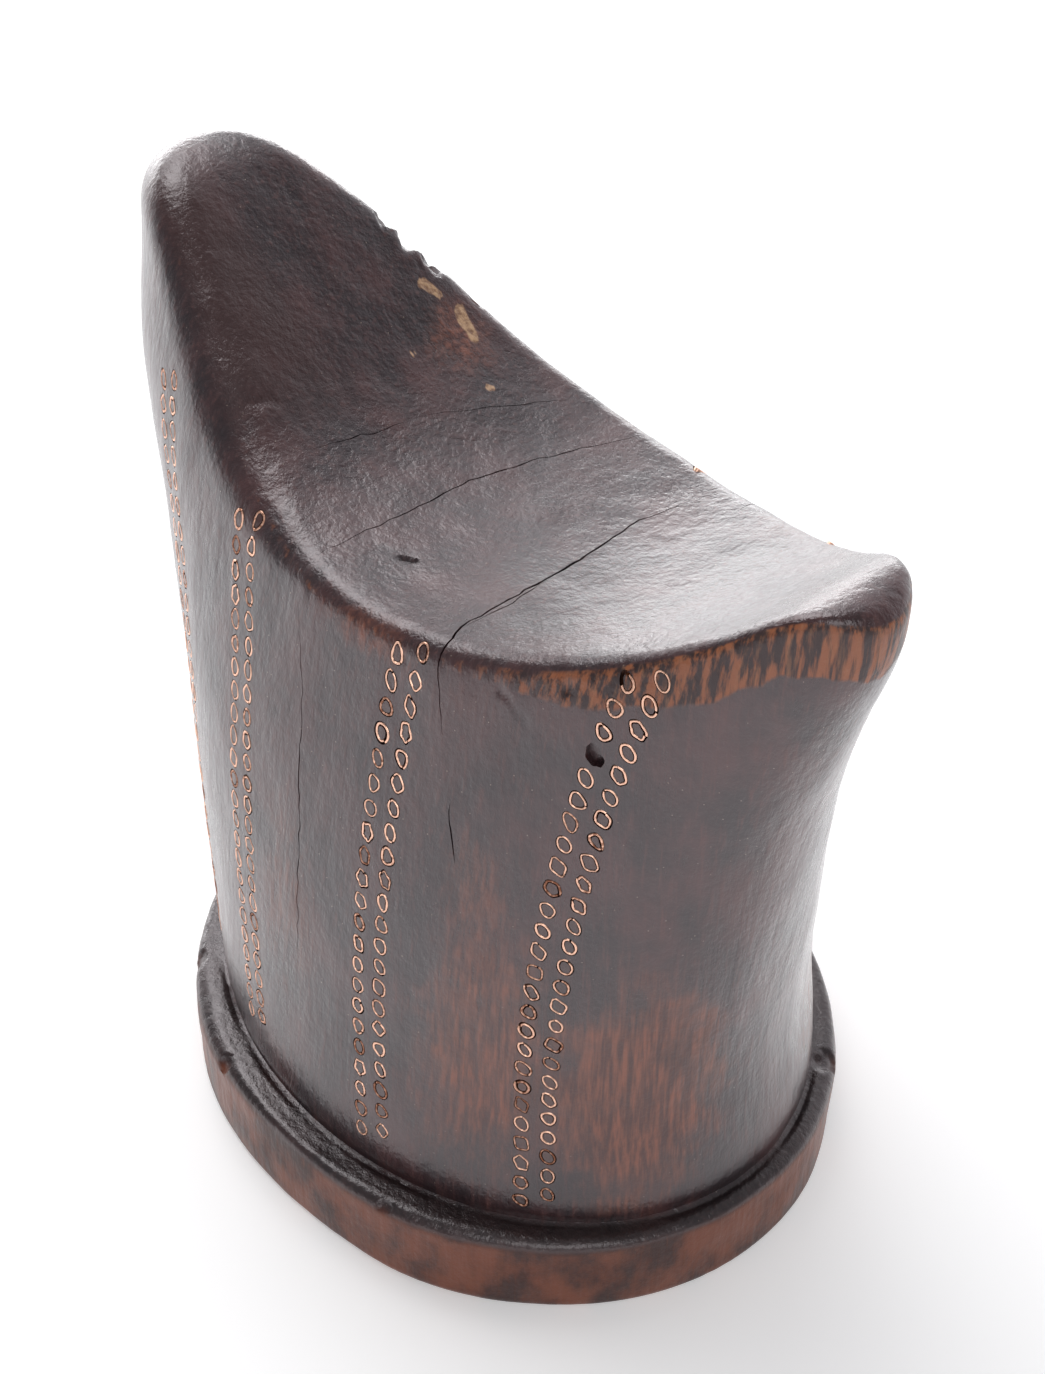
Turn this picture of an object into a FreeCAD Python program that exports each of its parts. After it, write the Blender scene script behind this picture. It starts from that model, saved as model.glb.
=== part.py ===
import FreeCAD
import Part
import Sketcher
import math
import os

from FreeCAD import Vector

# A headrest carved from one block of wood and inlaid with columns of small copper rings.
# Millimetres, +Z up. The origin is the centre of the underside, the broad front faces -Y
# and the lower horn points along +X. The body flares upwards into a saddle with two horns.

# Sections of the body: height above the table, length along X, width along Y, and how far
# the centre of the section has moved towards +X.
BODY_SECTIONS = {
    "root": (17.0, 151.0, 122.0, 0.0),
    "foot": (23.0, 152.0, 122.6, 0.0),
    "low": (59.0, 156.0, 116.6, -4.0),
    "waist": (97.0, 164.8, 108.8, -7.0),
    "shoulder": (131.0, 179.0, 95.4, -10.0),
    "rim": (161.0, 197.4, 80.0, -12.2),
    "crown": (188.0, 207.2, 64.0, -9.8),
    "sky": (214.0, 208.4, 62.0, -9.8),
}

DRIVING_SIZES = {
    "plinth_length": 161.5,
    "plinth_width": 139.0,
    "plinth_height": 23.0,
    "plinth_top_rounding": 3.2,
    "plinth_foot_rounding": 2.0,
    "saddle_low_reach": -5.2,
    "saddle_low_height": 157.0,
    "near_arc_radius": 121.0,
    "far_arc_radius": 85.0,
    "high_horn_slope": 34.0,
    "near_horn_reach": 83.0,
    "far_horn_reach": -96.0,
    "near_cap_drop": 16.5,
    "far_cap_drop": 12.0,
    "clearing": 130.0,
    "clearing_top": 235.0,
    "horn_top_rounding": 9.0,
    "rim_rounding": 3.0,
    "ring_height": 4.4,
    "ring_width": 3.4,
    "strip_thickness": 0.45,
    "ring_depth": 3.2,
    "ring_blank_length": 7.0,
    "column_spacing": 5.6,
    "missing_ring_depth": 2.0,
}

# Double columns of rings on each broad face, from the high horn to the low one: how far round
# from the middle of the face, height of the lowest and highest ring, number of rings in a
# column, and how far the rings lean.
RING_PAIRS = {
    "high_outer": (-38.0, 37.0, 166.0, 26, 24.0),
    "high_inner": (-14.5, 37.0, 156.5, 24, 12.0),
    "low_inner": (15.5, 34.0, 155.0, 22, 12.0),
    "low_outer": (45.5, 31.0, 170.5, 26, 24.0),
}
PAIR_VALUES = ("angle", "bottom", "top", "count", "lean")
FACES = {"front": -1.0, "back": 1.0}
SIDES = {"left": -0.5, "right": 0.5}

# The one ring that has fallen out, counted from the top of its column.
LOST_COLUMN = ("front", "low_outer", "left")
LOST_RING = 3

# How often a search on the wall surface halves its interval.
HALVINGS = 40

# An edge counts as level when its height varies by less than this.
LEVEL_TOLERANCE = 0.01

# A crest runs straight across a horn, so it is this narrow along X and Z.
CREST_NARROWNESS = 0.5

# The saddle's pocket takes away at least this share of the block.
LEAST_SADDLE_SHARE = 0.03


def make_sheet(doc):
    sheet = doc.addObject("Spreadsheet::Sheet", "Dimensions")
    values = dict(DRIVING_SIZES)
    for name, (height, length, width, shift) in BODY_SECTIONS.items():
        values[name + "_height"] = height
        values[name + "_length"] = length
        values[name + "_width"] = width
        values[name + "_shift"] = shift
    for name, pair in RING_PAIRS.items():
        for value_name, value in zip(PAIR_VALUES, pair):
            values[name + "_" + value_name] = value
    for row, (alias, value) in enumerate(values.items(), start=1):
        sheet.set("A%d" % row, alias)
        sheet.set("B%d" % row, str(value))
        sheet.setAlias("B%d" % row, alias)
    doc.recompute()
    return sheet


def origin_plane(body, role):
    for feature in body.Origin.OriginFeatures:
        if feature.Role == role:
            return feature
    raise ValueError("no origin plane " + role)


def ellipse_sketch(body, name, height, length, width, shift):
    """An ellipse at a height, its long axis along X; the arguments are expressions."""
    sketch = body.newObject("Sketcher::SketchObject", name + "_sketch")
    sketch.AttachmentSupport = [(origin_plane(body, "XY_Plane"), "")]
    sketch.MapMode = "FlatFace"
    sketch.setExpression("AttachmentOffset.Base.z", height)
    sketch.setExpression("AttachmentOffset.Base.x", shift)
    start_length, start_width = 160.0, 120.0
    long_end = Vector(start_length / 2, 0, 0)
    short_end = Vector(0, start_width / 2, 0)
    ellipse = sketch.addGeometry(Part.Ellipse(long_end, short_end, Vector(0, 0, 0)), False)
    sketch.exposeInternalGeometry(ellipse)
    long_axis = ellipse + 1
    short_axis = ellipse + 2
    sketch.addConstraint(Sketcher.Constraint("Coincident", ellipse, 3, -1, 1))
    sketch.addConstraint(Sketcher.Constraint("Horizontal", long_axis))
    length_index = sketch.addConstraint(Sketcher.Constraint("Distance", long_axis, start_length))
    width_index = sketch.addConstraint(Sketcher.Constraint("Distance", short_axis, start_width))
    sketch.setExpression("Constraints[%d]" % length_index, length)
    sketch.setExpression("Constraints[%d]" % width_index, width)
    sketch.Visibility = False
    return sketch


def add_plinth(body):
    sketch = ellipse_sketch(body, "plinth", "0", "Dimensions.plinth_length", "Dimensions.plinth_width", "0")
    pad = body.newObject("PartDesign::Pad", "plinth_pad")
    pad.Profile = sketch
    pad.setExpression("Length", "Dimensions.plinth_height")
    return pad


def round_edges(doc, body, feature, name, wanted):
    """A fillet over the edges that the test picks, its radius bound to the cell of its name."""
    edges = []
    for index, edge in enumerate(feature.Shape.Edges, start=1):
        if wanted(edge.BoundBox):
            edges.append("Edge%d" % index)
    fillet = body.newObject("PartDesign::Fillet", name)
    fillet.Base = (feature, edges)
    fillet.setExpression("Radius", "Dimensions." + name)
    doc.recompute()
    return fillet


def round_plinth(doc, body, sheet, pad):
    """Round the upper and the lower edge of the plinth."""
    doc.recompute()

    def is_top(box):
        return abs(box.ZMin - sheet.plinth_height) < LEVEL_TOLERANCE and box.ZLength < LEVEL_TOLERANCE

    def is_foot(box):
        return abs(box.ZMax) < LEVEL_TOLERANCE and box.ZLength < LEVEL_TOLERANCE

    rounded = round_edges(doc, body, pad, "plinth_top_rounding", is_top)
    return round_edges(doc, body, rounded, "plinth_foot_rounding", is_foot)


def add_body_loft(body):
    sketches = []
    for name in BODY_SECTIONS:
        cell = "Dimensions." + name
        sketch = ellipse_sketch(body, name, cell + "_height", cell + "_length", cell + "_width", cell + "_shift")
        sketches.append(sketch)
    loft = body.newObject("PartDesign::AdditiveLoft", "flared_body")
    loft.Profile = sketches[0]
    loft.Sections = sketches[1:]
    loft.Ruled = False
    return loft


def saddle_sketch(body, sheet):
    """What is carved away above the saddle: two arcs that meet at the lowest point, the straight
    rise to the high horn, and the sloping cap of each horn."""
    slope = math.radians(sheet.high_horn_slope)
    low_point = Vector(sheet.saddle_low_reach, sheet.saddle_low_height, 0)
    near_centre = low_point + Vector(0, sheet.near_arc_radius, 0)
    far_centre = low_point + Vector(0, sheet.far_arc_radius, 0)
    near_run = sheet.near_horn_reach - near_centre.x
    near_drop = math.sqrt(sheet.near_arc_radius ** 2 - near_run ** 2)
    near_tip = Vector(sheet.near_horn_reach, near_centre.y - near_drop, 0)
    bend = far_centre + Vector(-math.sin(slope), -math.cos(slope), 0) * sheet.far_arc_radius
    far_rise = (bend.x - sheet.far_horn_reach) * math.tan(slope)
    far_tip = Vector(sheet.far_horn_reach, bend.y + far_rise, 0)
    near_edge = Vector(sheet.clearing, near_tip.y - sheet.near_cap_drop, 0)
    far_edge = Vector(-sheet.clearing, far_tip.y - sheet.far_cap_drop, 0)
    near_top = Vector(sheet.clearing, sheet.clearing_top, 0)
    far_top = Vector(-sheet.clearing, sheet.clearing_top, 0)

    sketch = body.newObject("Sketcher::SketchObject", "saddle_sketch")
    sketch.AttachmentSupport = [(origin_plane(body, "XZ_Plane"), "")]
    sketch.MapMode = "FlatFace"
    upward = Vector(0, 0, 1)
    down = -math.pi / 2
    near_end = math.atan2(-near_drop, near_run)
    near_circle = Part.Circle(near_centre, upward, sheet.near_arc_radius)
    far_circle = Part.Circle(far_centre, upward, sheet.far_arc_radius)
    far_arc = sketch.addGeometry(Part.ArcOfCircle(far_circle, down - slope, down), False)
    near_arc = sketch.addGeometry(Part.ArcOfCircle(near_circle, down, near_end), False)
    corners = [near_tip, near_edge, near_top, far_top, far_edge, far_tip, bend]
    lines = []
    for first, second in zip(corners, corners[1:]):
        lines.append(sketch.addGeometry(Part.LineSegment(first, second), False))
    near_cap, near_side, ceiling, far_side, far_cap, rise = lines

    sketch.addConstraint(Sketcher.Constraint("Coincident", far_arc, 2, near_arc, 1))
    sketch.addConstraint(Sketcher.Constraint("Coincident", near_arc, 2, near_cap, 1))
    for first, second in zip(lines, lines[1:]):
        sketch.addConstraint(Sketcher.Constraint("Coincident", first, 2, second, 1))
    sketch.addConstraint(Sketcher.Constraint("Tangent", rise, 2, far_arc, 1))
    sketch.addConstraint(Sketcher.Constraint("Vertical", near_side))
    sketch.addConstraint(Sketcher.Constraint("Horizontal", ceiling))
    sketch.addConstraint(Sketcher.Constraint("Vertical", far_side))
    sketch.addConstraint(Sketcher.Constraint("Vertical", far_arc, 2, far_arc, 3))
    sketch.addConstraint(Sketcher.Constraint("Vertical", near_arc, 1, near_arc, 3))
    cell = "Dimensions."
    sizes = [
        ("Radius", (near_arc,), sheet.near_arc_radius, cell + "near_arc_radius"),
        ("Radius", (far_arc,), sheet.far_arc_radius, cell + "far_arc_radius"),
        ("DistanceX", (near_arc, 1, -1, 1), -low_point.x, "-" + cell + "saddle_low_reach"),
        ("DistanceY", (-1, 1, near_arc, 1), low_point.y, cell + "saddle_low_height"),
        ("DistanceX", (-1, 1, near_cap, 1), near_tip.x, cell + "near_horn_reach"),
        ("DistanceX", (rise, 1, -1, 1), -far_tip.x, "-" + cell + "far_horn_reach"),
        ("DistanceX", (rise, 1, rise, 2), bend.x - far_tip.x,
         "-%sfar_horn_reach + %ssaddle_low_reach - %sfar_arc_radius * sin(%shigh_horn_slope * 1 deg)"
         % (cell, cell, cell, cell)),
        ("DistanceX", (-1, 1, near_side, 1), near_edge.x, cell + "clearing"),
        ("DistanceX", (far_side, 2, -1, 1), -far_edge.x, cell + "clearing"),
        ("DistanceY", (near_cap, 2, near_cap, 1), sheet.near_cap_drop, cell + "near_cap_drop"),
        ("DistanceY", (far_cap, 1, far_cap, 2), sheet.far_cap_drop, cell + "far_cap_drop"),
        ("DistanceY", (-1, 1, ceiling, 1), near_top.y, cell + "clearing_top"),
    ]
    for kind, places, value, expression in sizes:
        index = sketch.addConstraint(Sketcher.Constraint(kind, *places, value))
        sketch.setExpression("Constraints[%d]" % index, expression)
    sketch.Visibility = False
    return sketch


def carve_saddle(doc, body, sheet):
    doc.recompute()
    volume_before = body.Shape.Volume
    pocket = body.newObject("PartDesign::Pocket", "saddle")
    pocket.Profile = saddle_sketch(body, sheet)
    pocket.Type = "ThroughAll"
    pocket.Midplane = True
    doc.recompute()
    if volume_before - pocket.Shape.Volume < LEAST_SADDLE_SHARE * volume_before:
        raise ValueError("the saddle pocket cut nothing")
    return pocket


def carve_body(doc, sheet):
    """The whole carved block before the rings are let in."""
    body = doc.addObject("PartDesign::Body", "carved_body")
    pad = add_plinth(body)
    round_plinth(doc, body, sheet, pad)
    add_body_loft(body)
    saddle = carve_saddle(doc, body, sheet)

    def is_crest(box):
        return box.ZMin > sheet.rim_height and box.XLength < CREST_NARROWNESS and box.ZLength < CREST_NARROWNESS

    def is_rim(box):
        reaches_side = max(box.YMax, -box.YMin) > sheet.crown_width / 5
        return box.ZMin > sheet.shoulder_height and reaches_side and box.XLength > CREST_NARROWNESS

    crests = round_edges(doc, body, saddle, "horn_top_rounding", is_crest)
    round_edges(doc, body, crests, "rim_rounding", is_rim)
    return body


def wall_surface(shape):
    """The flared wall is the largest face of the carved block."""
    return max(shape.Faces, key=lambda face: face.Area).Surface


def wall_height_parameter(surface, across, height):
    low = surface.bounds()[2]
    high = surface.bounds()[3]
    for _ in range(HALVINGS):
        middle = (low + high) / 2
        if surface.value(across, middle).z < height:
            low = middle
        else:
            high = middle
    return (low + high) / 2


def outward_normal(surface, across, upward):
    point = surface.value(across, upward)
    normal = surface.normal(across, upward)
    if normal.dot(Vector(point.x, point.y, 0)) < 0:
        normal = normal * -1
    return normal


def ring_frame(surface, across, height, sideways):
    """Centre, outward, rightward and upward directions of a ring on the wall."""
    upward_parameter = wall_height_parameter(surface, across, height)
    centre = surface.value(across, upward_parameter)
    normal = outward_normal(surface, across, upward_parameter)
    right = Vector(0, 0, 1).cross(normal).normalize()
    shifted = surface.parameter(centre + right * sideways)
    centre = surface.value(*shifted)
    normal = outward_normal(surface, *shifted)
    right = Vector(0, 0, 1).cross(normal).normalize()
    return centre, normal, right, normal.cross(right)


def oval_wire(centre, long_direction, short_direction, length, width):
    long_end = centre + long_direction * (length / 2)
    short_end = centre + short_direction * (width / 2)
    return Part.Wire([Part.Ellipse(long_end, short_end, centre).toShape()])


def ring_blank(sheet, frame, lean, hollow=True):
    """An oval tube through the wall, or the solid plug of a lost ring's empty socket."""
    surface_centre, normal, right, up = frame
    tilt = math.radians(lean)
    long_direction = up * math.cos(tilt) - right * math.sin(tilt)
    short_direction = right * math.cos(tilt) + up * math.sin(tilt)
    depth = sheet.ring_depth if hollow else sheet.missing_ring_depth
    centre = surface_centre - normal * depth
    wires = [oval_wire(centre, long_direction, short_direction, sheet.ring_height, sheet.ring_width)]
    if hollow:
        inner_height = sheet.ring_height - 2 * sheet.strip_thickness
        inner_width = sheet.ring_width - 2 * sheet.strip_thickness
        wires.append(oval_wire(centre, long_direction, short_direction, inner_height, inner_width))
    face = Part.Face(wires, "Part::FaceMakerBullseye")
    return face.extrude(normal * sheet.ring_blank_length)


def column_frames(sheet, surface, face_name, pair, side):
    """A frame for each ring of one column, from the highest ring to the lowest."""
    values = {name: getattr(sheet, pair + "_" + name) for name in PAIR_VALUES}
    toward = FACES[face_name]
    angle = math.radians(values["angle"])
    foot_x = sheet.foot_shift + sheet.foot_length / 2 * math.sin(angle)
    foot_y = toward * sheet.foot_width / 2 * math.cos(angle)
    across = surface.parameter(Vector(foot_x, foot_y, sheet.foot_height))[0]
    count = int(values["count"])
    pitch = (values["top"] - values["bottom"]) / (count - 1)
    stagger = -pitch / 4 if side == "left" else pitch / 4
    frames = []
    for index in range(count):
        height = values["top"] - pitch * index + stagger
        frames.append(ring_frame(surface, across, height, SIDES[side] * sheet.column_spacing))
    return frames


def all_columns(sheet, surface):
    """Name, lean and ring frames of every column, and the frame of the lost ring."""
    columns = []
    lost = None
    for face_name in FACES:
        for pair in RING_PAIRS:
            for side in SIDES:
                frames = column_frames(sheet, surface, face_name, pair, side)
                if (face_name, pair, side) == LOST_COLUMN:
                    lost = (frames.pop(LOST_RING), getattr(sheet, pair + "_lean"))
                name = "rings_" + face_name + "_" + pair + "_" + side
                columns.append((name, getattr(sheet, pair + "_lean"), frames))
    return columns, lost


def add_blanks(doc, sheet, columns):
    """One feature of oval tubes for each column."""
    features = []
    for name, lean, frames in columns:
        feature = doc.addObject("Part::Feature", name + "_blanks")
        feature.Shape = Part.makeCompound([ring_blank(sheet, frame, lean) for frame in frames])
        features.append(feature)
    return features


def add_ring_columns(doc, carved, columns, blanks):
    """The rings are the part of each tube that lies inside the wood, so they end flush."""
    nodes = []
    for (name, _, _), blank in zip(columns, blanks):
        node = doc.addObject("Part::Common", name)
        node.Base = carved
        node.Tool = blank
        node.Label = name
        nodes.append(node)
    return nodes


def add_block(doc, sheet, carved, blanks, lost):
    """The wood block with a narrow socket for every ring and one wide socket left empty."""
    socket = doc.addObject("Part::Feature", "empty_socket")
    socket.Shape = ring_blank(sheet, lost[0], lost[1], hollow=False)
    sockets = doc.addObject("Part::Compound", "sockets")
    sockets.Links = blanks + [socket]
    block = doc.addObject("Part::Cut", "headrest_block")
    block.Base = carved
    block.Tool = sockets
    block.Label = "headrest_block"
    return block


def check_document(doc, nodes):
    for item in doc.Objects:
        if "Invalid" in item.State or "Error" in item.State:
            raise ValueError(item.Name + " did not build")
    for node in nodes:
        if node.Shape.isNull() or not node.Shape.isValid():
            raise ValueError(node.Name + " has a bad shape")


def main():
    doc = FreeCAD.newDocument("headrest")
    sheet = make_sheet(doc)
    carved = carve_body(doc, sheet)
    columns, lost = all_columns(sheet, wall_surface(carved.Shape))
    blanks = add_blanks(doc, sheet, columns)
    rings = add_ring_columns(doc, carved, columns, blanks)
    block = add_block(doc, sheet, carved, blanks, lost)
    doc.recompute()
    nodes = [block] + rings
    check_document(doc, nodes)
    for (name, _, frames), node in zip(columns, rings):
        if len(node.Shape.Solids) != len(frames):
            raise ValueError(name + " lost a ring")
    os.makedirs("parts", exist_ok=True)
    for node in nodes:
        node.Shape.exportStep(os.path.join("parts", node.Label + ".step"))
        print(node.Label, len(node.Shape.Solids), round(node.Shape.Volume, 1))


main()
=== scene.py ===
import itertools
import math
import random

import bmesh
import bpy
import numpy as np
from mathutils import Matrix, Vector
from mathutils.bvhtree import BVHTree
from mathutils.kdtree import KDTree


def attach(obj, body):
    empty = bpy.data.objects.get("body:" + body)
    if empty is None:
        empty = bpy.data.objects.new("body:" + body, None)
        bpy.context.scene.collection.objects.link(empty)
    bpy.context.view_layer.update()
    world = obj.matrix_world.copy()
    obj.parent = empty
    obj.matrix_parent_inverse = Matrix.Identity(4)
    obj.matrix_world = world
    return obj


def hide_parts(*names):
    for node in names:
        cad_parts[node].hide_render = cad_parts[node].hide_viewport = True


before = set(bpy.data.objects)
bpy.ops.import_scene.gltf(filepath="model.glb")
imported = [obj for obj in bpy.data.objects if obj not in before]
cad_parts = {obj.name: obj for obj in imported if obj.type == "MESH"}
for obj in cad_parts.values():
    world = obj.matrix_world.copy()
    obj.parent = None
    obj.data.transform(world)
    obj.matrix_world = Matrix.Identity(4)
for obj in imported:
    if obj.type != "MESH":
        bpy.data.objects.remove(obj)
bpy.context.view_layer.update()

# Shapes are worked out in millimetres, in the frame of the CAD model, and written in metres.
MM = 0.001

# The flared body as in the CAD: height, half length, half width and how far the centre of each
# oval section has moved towards +X.
SECTION_HEIGHTS = np.array([17.0, 23.0, 59.0, 97.0, 131.0, 161.0, 188.0, 214.0])
SECTION_HALF_LENGTHS = np.array([75.5, 76.0, 78.0, 82.4, 89.5, 98.7, 103.6, 104.2])
SECTION_HALF_WIDTHS = np.array([61.0, 61.3, 58.3, 54.4, 47.7, 40.0, 32.0, 31.0])
SECTION_SHIFTS = np.array([0.0, 0.0, -4.0, -7.0, -10.0, -12.2, -9.8, -9.8])

PLINTH_HALF_LENGTH = 80.75
PLINTH_HALF_WIDTH = 69.5
PLINTH_HEIGHT = 23.0
PLINTH_TOP_ROUNDING = 3.2
PLINTH_FOOT_ROUNDING = 2.0

# The hollow: its lowest point, an arc up to the low horn, and a tighter arc up to the high
# horn that runs on as a straight slope. Each horn's cap falls away outwards from its crest.
SADDLE_LOW_X = -5.2
SADDLE_LOW_HEIGHT = 157.0
LOW_HORN_ARC = 121.0
HIGH_HORN_ARC = 85.0
HIGH_HORN_SLOPE = math.tan(math.radians(34.0))
LOW_HORN_X = 83.0
LOW_CAP_SLOPE = 16.5 / 47.0
HIGH_HORN_X = -96.0
HIGH_CAP_SLOPE = 12.0 / 34.0
CREST_ROUNDING = 10.0
RIM_ROUNDING = 1.8
HIGH_HORN_ROUNDING = 5.5

# The rim is looked for between these heights, halving the distance this many times.
RIM_LOWEST = 120.0
RIM_HIGHEST = 210.0
RIM_HALVINGS = 30

# The strip rubbed off under the rim: its height and set-back away from the low horn, and how much
# each gains at the horn. On the back the set-back gains only this share, and the strip's edge is
# blended over this distance.
STRIP_HEIGHT = 3.5
STRIP_HEIGHT_GAIN = 10.0
STRIP_SET_BACK = 0.5
STRIP_SET_BACK_GAIN = 1.3
STRIP_BACK_SHARE = 0.35
STRIP_BLEND = 0.7

# How finely the block is meshed: points round it, and rows up the plinth, over the ledge, up the
# wall and over the saddle.
AROUND = 840
PLINTH_ROWS = 24
LEDGE_ROWS = 9
WALL_ROWS = 190
TOP_ROWS = 64

# How far to either side of a point its slope is measured, and how often the points of the mesh
# are moved towards the rounded surface.
SLOPE_STEP = 0.05
SETTLE_ROUNDS = 5

# The smooth noise repeats after this many bumps.
NOISE_CELLS = 32


# ---------------------------------------------------------------- numbers and noise

def through(heights, values, where):
    """A smooth curve through the values, with the slope at each taken from its neighbours."""
    slopes = np.gradient(values, heights)
    where = np.clip(where, heights[0], heights[-1])
    index = np.clip(np.searchsorted(heights, where) - 1, 0, len(heights) - 2)
    gap = heights[index + 1] - heights[index]
    t = (where - heights[index]) / gap
    start = (1 + 2 * t) * (1 - t) ** 2 * values[index] + t * (1 - t) ** 2 * gap * slopes[index]
    end = t * t * (3 - 2 * t) * values[index + 1] + t * t * (t - 1) * gap * slopes[index + 1]
    return start + end


def smooth_step(low, high, value):
    """0 at low, 1 at high and smooth between them; low may be the greater of the two."""
    t = np.clip((value - low) / (high - low), 0.0, 1.0)
    return t * t * (3 - 2 * t)


def smooth_max(a, b, reach):
    """The greater of two values, blended where they differ by less than the reach."""
    blend = np.maximum(reach - np.abs(a - b), 0.0) / reach
    return np.maximum(a, b) + blend * blend * reach / 4


def lattice_noise(points, size, seed):
    """Smooth noise between -1 and 1, with bumps of the given size in mm."""
    table = np.random.default_rng(seed).uniform(-1.0, 1.0, (NOISE_CELLS, NOISE_CELLS, NOISE_CELLS))
    place = points / np.asarray(size, dtype=float)
    base = np.floor(place).astype(int)
    t = place - base
    t = t * t * (3 - 2 * t)
    total = np.zeros(len(points))
    for corner in itertools.product((0, 1), repeat=3):
        index = (base + corner) % NOISE_CELLS
        weight = np.prod(np.where(corner, t, 1 - t), axis=1)
        total += weight * table[index[:, 0], index[:, 1], index[:, 2]]
    return total


# ---------------------------------------------------------------- the plain carved form

def section_at(height):
    """Half length, half width and shift of the wall's oval at a height."""
    half_length = through(SECTION_HEIGHTS, SECTION_HALF_LENGTHS, height)
    half_width = through(SECTION_HEIGHTS, SECTION_HALF_WIDTHS, height)
    shift = through(SECTION_HEIGHTS, SECTION_SHIFTS, height)
    return half_length, half_width, shift


def wall_points(angles, heights):
    half_length, half_width, shift = section_at(heights)
    return np.stack([shift + half_length * np.cos(angles), half_width * np.sin(angles), heights], axis=-1)


def hollow_height(x):
    """Height of the hollow over the middle line, without the caps of the horns."""
    across = np.asarray(x, dtype=float) - SADDLE_LOW_X
    low_side = np.clip(across, 0.0, 0.95 * LOW_HORN_ARC)
    low_arc = LOW_HORN_ARC - np.sqrt(LOW_HORN_ARC ** 2 - low_side ** 2)
    bend_end = HIGH_HORN_ARC * math.sin(math.atan(HIGH_HORN_SLOPE))
    high_side = np.clip(-across, 0.0, bend_end)
    high_arc = HIGH_HORN_ARC - np.sqrt(HIGH_HORN_ARC ** 2 - high_side ** 2)
    straight = np.maximum(-across - bend_end, 0.0) * HIGH_HORN_SLOPE
    return SADDLE_LOW_HEIGHT + low_arc + high_arc + straight


def saddle_height(x):
    """Height of the top over the middle line: the hollow, and the cap of each horn."""
    low_cap = hollow_height(LOW_HORN_X) - LOW_CAP_SLOPE * (x - LOW_HORN_X)
    high_cap = hollow_height(HIGH_HORN_X) + HIGH_CAP_SLOPE * (x - HIGH_HORN_X)
    cap = np.where(x > 0, low_cap, high_cap)
    return -smooth_max(-hollow_height(x), -cap, CREST_ROUNDING)


def outside_wall(points):
    """Distance outside the flared wall, negative inside the wood."""
    half_length, half_width, shift = section_at(points[:, 2])
    x = points[:, 0] - shift
    y = points[:, 1]
    level = np.sqrt((x / half_length) ** 2 + (y / half_width) ** 2) + 1e-9
    steepness = np.sqrt((x / half_length ** 2) ** 2 + (y / half_width ** 2) ** 2) / level + 1e-9
    return (level - 1) / steepness


def worn_strip(points):
    """Height and set-back of the strip rubbed off under the rim, widest at the low horn."""
    toward_low_horn = smooth_step(15.0, 80.0, points[:, 0])
    front = smooth_step(30.0, -12.0, points[:, 1])
    height = STRIP_HEIGHT + STRIP_HEIGHT_GAIN * toward_low_horn
    share = STRIP_BACK_SHARE + (1 - STRIP_BACK_SHARE) * front
    set_back = STRIP_SET_BACK + STRIP_SET_BACK_GAIN * toward_low_horn * share
    return height, set_back


def outside_block(points):
    """Distance outside the carved upper body: wall, worn strip and saddle together."""
    wall = outside_wall(points)
    below_top = saddle_height(points[:, 0]) - points[:, 2]
    height, set_back = worn_strip(points)
    strip = wall + set_back * (1 - below_top / height)
    slope = saddle_height(points[:, 0] + 0.5) - saddle_height(points[:, 0] - 0.5)
    top = -below_top / np.sqrt(1 + slope ** 2)
    front = smooth_step(10.0, -15.0, points[:, 1])
    on_high_horn = np.maximum(smooth_step(-70.0, -98.0, points[:, 0]),
                              front * smooth_step(-5.0, -50.0, points[:, 0]))
    rounding = RIM_ROUNDING + (HIGH_HORN_ROUNDING - RIM_ROUNDING) * on_high_horn
    return smooth_max(smooth_max(wall, strip, STRIP_BLEND), top, 2 * rounding)


def settle_on_block(points):
    """Moves points onto the rounded surface of the upper body."""
    for _ in range(SETTLE_ROUNDS):
        value = outside_block(points)
        gradient = np.empty_like(points)
        for axis in range(3):
            offset = np.zeros(3)
            offset[axis] = SLOPE_STEP
            rise = outside_block(points + offset) - outside_block(points - offset)
            gradient[:, axis] = rise / (2 * SLOPE_STEP)
        size = np.maximum((gradient ** 2).sum(axis=1), 0.3)
        points = points - gradient * (value / size)[:, None]
    return points


def rim_heights(angles):
    """Height at which the wall meets the saddle, for each angle."""
    low = np.full(len(angles), RIM_LOWEST)
    high = np.full(len(angles), RIM_HIGHEST)
    for _ in range(RIM_HALVINGS):
        middle = (low + high) / 2
        below = wall_points(angles, middle)[:, 2] < saddle_height(wall_points(angles, middle)[:, 0])
        low = np.where(below, middle, low)
        high = np.where(below, high, middle)
    return (low + high) / 2


def plinth_rows(angles):
    """Ovals up the outside of the plinth and inwards over the ledge."""
    inset_and_height = []
    for turn in np.linspace(0.0, math.pi / 2, 4):
        inset_and_height.append((PLINTH_FOOT_ROUNDING * (1 - math.sin(turn)),
                                 PLINTH_FOOT_ROUNDING * (1 - math.cos(turn))))
    side_top = PLINTH_HEIGHT - PLINTH_TOP_ROUNDING
    for height in np.linspace(PLINTH_FOOT_ROUNDING, side_top, PLINTH_ROWS)[1:]:
        inset_and_height.append((0.0, height))
    for turn in np.linspace(0.0, math.pi / 2, 8)[1:]:
        inset_and_height.append((PLINTH_TOP_ROUNDING * (1 - math.cos(turn)),
                                 side_top + PLINTH_TOP_ROUNDING * math.sin(turn)))
    rows = []
    for inset, height in inset_and_height:
        rows.append(np.stack([(PLINTH_HALF_LENGTH - inset) * np.cos(angles),
                              (PLINTH_HALF_WIDTH - inset) * np.sin(angles),
                              np.full(len(angles), height)], axis=-1))
    return rows


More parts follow.
